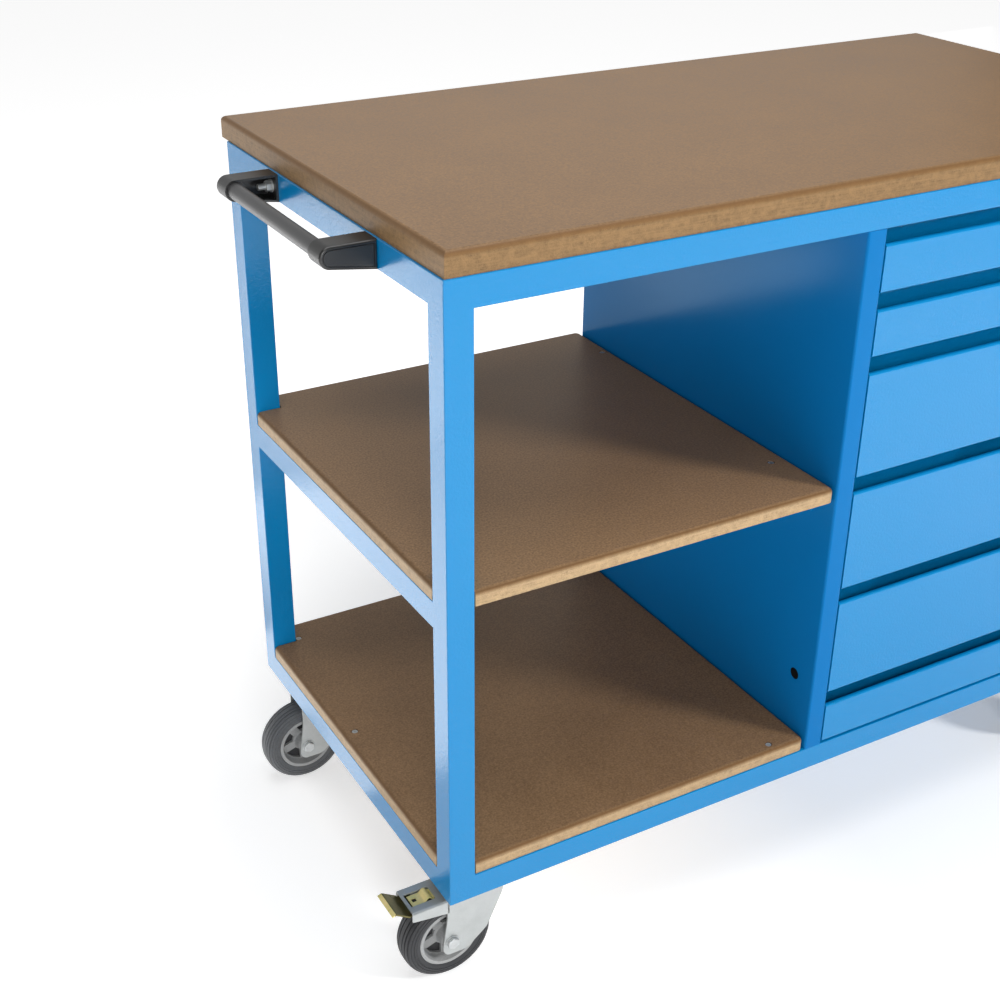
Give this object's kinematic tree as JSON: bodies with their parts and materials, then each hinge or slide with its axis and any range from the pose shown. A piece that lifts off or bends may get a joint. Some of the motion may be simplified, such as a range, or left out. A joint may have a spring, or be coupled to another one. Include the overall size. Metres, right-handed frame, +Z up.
{
  "type": "assembly table",
  "caption": "Mobile assembly table with a blue tube frame, fibreboard worktop and shelves, a drawer cabinet, a push handle and braked castors.",
  "frame": {"origin": "on the floor, under the middle of the object's box", "axes": "+X along the length towards the cabinet end, +Y to the rear, +Z up"},
  "size_m": [1.267, 0.623, 1.001],
  "materials": {
    "blue_paint": "light blue powder coat, fine orange peel, half gloss",
    "fibreboard": "bare medium density fibreboard, fine fibre speckle",
    "runner_steel": "galvanised sheet",
    "zinc_plate": "bright zinc plating, slightly cloudy",
    "yellow_zinc": "yellow passivated zinc plating with iridescence",
    "bracket_plastic": "black moulded plastic, fine grain",
    "grip_coat": "dark grey coated tube",
    "rim_plastic": "light grey moulded plastic",
    "tyre_rubber": "dark grey rubber with fine ridges"
  },
  "bodies": {
    "table": {"post_front_left": "blue_paint", "post_front_right": "blue_paint", "post_rear_left": "blue_paint", "post_rear_right": "blue_paint", "base_rail_front": "blue_paint", "base_rail_rear": "blue_paint", "base_rail_left": "blue_paint", "base_rail_right": "blue_paint", "top_rail_front": "blue_paint", "top_rail_rear": "blue_paint", "top_rail_left": "blue_paint", "top_rail_right": "blue_paint", "mid_rail_left": "blue_paint", "mid_shelf_ledge": "blue_paint", "cabinet_left_panel": "blue_paint", "cabinet_right_panel": "blue_paint", "cabinet_bottom": "blue_paint", "cabinet_back": "blue_paint", "corner_plate_front_left": "blue_paint", "corner_plate_front_right": "blue_paint", "corner_plate_rear_left": "blue_paint", "corner_plate_rear_right": "blue_paint", "worktop": "fibreboard", "mid_shelf": "fibreboard", "base_shelf": "fibreboard", "runner_rack_left": "runner_steel", "runner_rack_right": "runner_steel", "castor_plate_front_left": "zinc_plate", "castor_plate_front_right": "zinc_plate", "castor_plate_rear_left": "zinc_plate", "castor_plate_rear_right": "zinc_plate", "handle_bracket_front": "bracket_plastic", "handle_bracket_rear": "bracket_plastic", "handle_tube": "grip_coat"},
    "drawer_1": {"drawer_1": "blue_paint"},
    "drawer_2": {"drawer_2": "blue_paint"},
    "drawer_3": {"drawer_3": "blue_paint"},
    "drawer_4": {"drawer_4": "blue_paint"},
    "drawer_5": {"drawer_5": "blue_paint"},
    "drawer_6": {"drawer_6": "blue_paint"},
    "swivel_front_left": {"castor_fork_front_left": "zinc_plate", "castor_axle_front_left": "zinc_plate", "brake_spring_front_left": "yellow_zinc"},
    "wheel_front_left": {"castor_rim_front_left": "rim_plastic", "castor_tyre_front_left": "tyre_rubber"},
    "pedal_front_left": {"brake_pedal_front_left": "yellow_zinc"},
    "swivel_front_right": {"castor_fork_front_right": "zinc_plate", "castor_axle_front_right": "zinc_plate", "brake_spring_front_right": "yellow_zinc"},
    "wheel_front_right": {"castor_rim_front_right": "rim_plastic", "castor_tyre_front_right": "tyre_rubber"},
    "pedal_front_right": {"brake_pedal_front_right": "yellow_zinc"},
    "swivel_rear_left": {"castor_fork_rear_left": "zinc_plate", "castor_axle_rear_left": "zinc_plate"},
    "wheel_rear_left": {"castor_rim_rear_left": "rim_plastic", "castor_tyre_rear_left": "tyre_rubber"},
    "swivel_rear_right": {"castor_fork_rear_right": "zinc_plate", "castor_axle_rear_right": "zinc_plate"},
    "wheel_rear_right": {"castor_rim_rear_right": "rim_plastic", "castor_tyre_rear_right": "tyre_rubber"}
  },
  "joints": [
    {"name": "drawer_1_slide", "type": "slide", "parent": "table", "child": "drawer_1", "axis": [0, -1, 0], "range_m": [0, 0.42]},
    {"name": "drawer_2_slide", "type": "slide", "parent": "table", "child": "drawer_2", "axis": [0, -1, 0], "range_m": [0, 0.42]},
    {"name": "drawer_3_slide", "type": "slide", "parent": "table", "child": "drawer_3", "axis": [0, -1, 0], "range_m": [0, 0.42]},
    {"name": "drawer_4_slide", "type": "slide", "parent": "table", "child": "drawer_4", "axis": [0, -1, 0], "range_m": [0, 0.42]},
    {"name": "drawer_5_slide", "type": "slide", "parent": "table", "child": "drawer_5", "axis": [0, -1, 0], "range_m": [0, 0.42]},
    {"name": "drawer_6_slide", "type": "slide", "parent": "table", "child": "drawer_6", "axis": [0, -1, 0], "range_m": [0, 0.42]},
    {"name": "swivel_front_left_turn", "type": "hinge", "parent": "table", "child": "swivel_front_left", "pos_m": [-0.5055, -0.2465, 0.165], "axis": [0, 0, 1], "continuous": true},
    {"name": "wheel_front_left_roll", "type": "hinge", "parent": "swivel_front_left", "child": "wheel_front_left", "pos_m": [-0.5435, -0.2465, 0.0625], "axis": [0, 1, 0], "continuous": true},
    {"name": "pedal_front_left_press", "type": "hinge", "parent": "swivel_front_left", "child": "pedal_front_left", "pos_m": [-0.5845, -0.2465, 0.122], "axis": [0, -1, 0], "range_deg": [0, 18]},
    {"name": "swivel_front_right_turn", "type": "hinge", "parent": "table", "child": "swivel_front_right", "pos_m": [0.5725, -0.2465, 0.165], "axis": [0, 0, 1], "continuous": true},
    {"name": "wheel_front_right_roll", "type": "hinge", "parent": "swivel_front_right", "child": "wheel_front_right", "pos_m": [0.5345, -0.2465, 0.0625], "axis": [0, 1, 0], "continuous": true},
    {"name": "pedal_front_right_press", "type": "hinge", "parent": "swivel_front_right", "child": "pedal_front_right", "pos_m": [0.4935, -0.2465, 0.122], "axis": [0, -1, 0], "range_deg": [0, 18]},
    {"name": "swivel_rear_left_turn", "type": "hinge", "parent": "table", "child": "swivel_rear_left", "pos_m": [-0.5055, 0.2235, 0.165], "axis": [0, 0, 1], "continuous": true},
    {"name": "wheel_rear_left_roll", "type": "hinge", "parent": "swivel_rear_left", "child": "wheel_rear_left", "pos_m": [-0.5435, 0.2235, 0.0625], "axis": [0, 1, 0], "continuous": true},
    {"name": "swivel_rear_right_turn", "type": "hinge", "parent": "table", "child": "swivel_rear_right", "pos_m": [0.5725, 0.2235, 0.165], "axis": [0, 0, 1], "continuous": true},
    {"name": "wheel_rear_right_roll", "type": "hinge", "parent": "swivel_rear_right", "child": "wheel_rear_right", "pos_m": [0.5345, 0.2235, 0.0625], "axis": [0, 1, 0], "continuous": true}
  ]
}
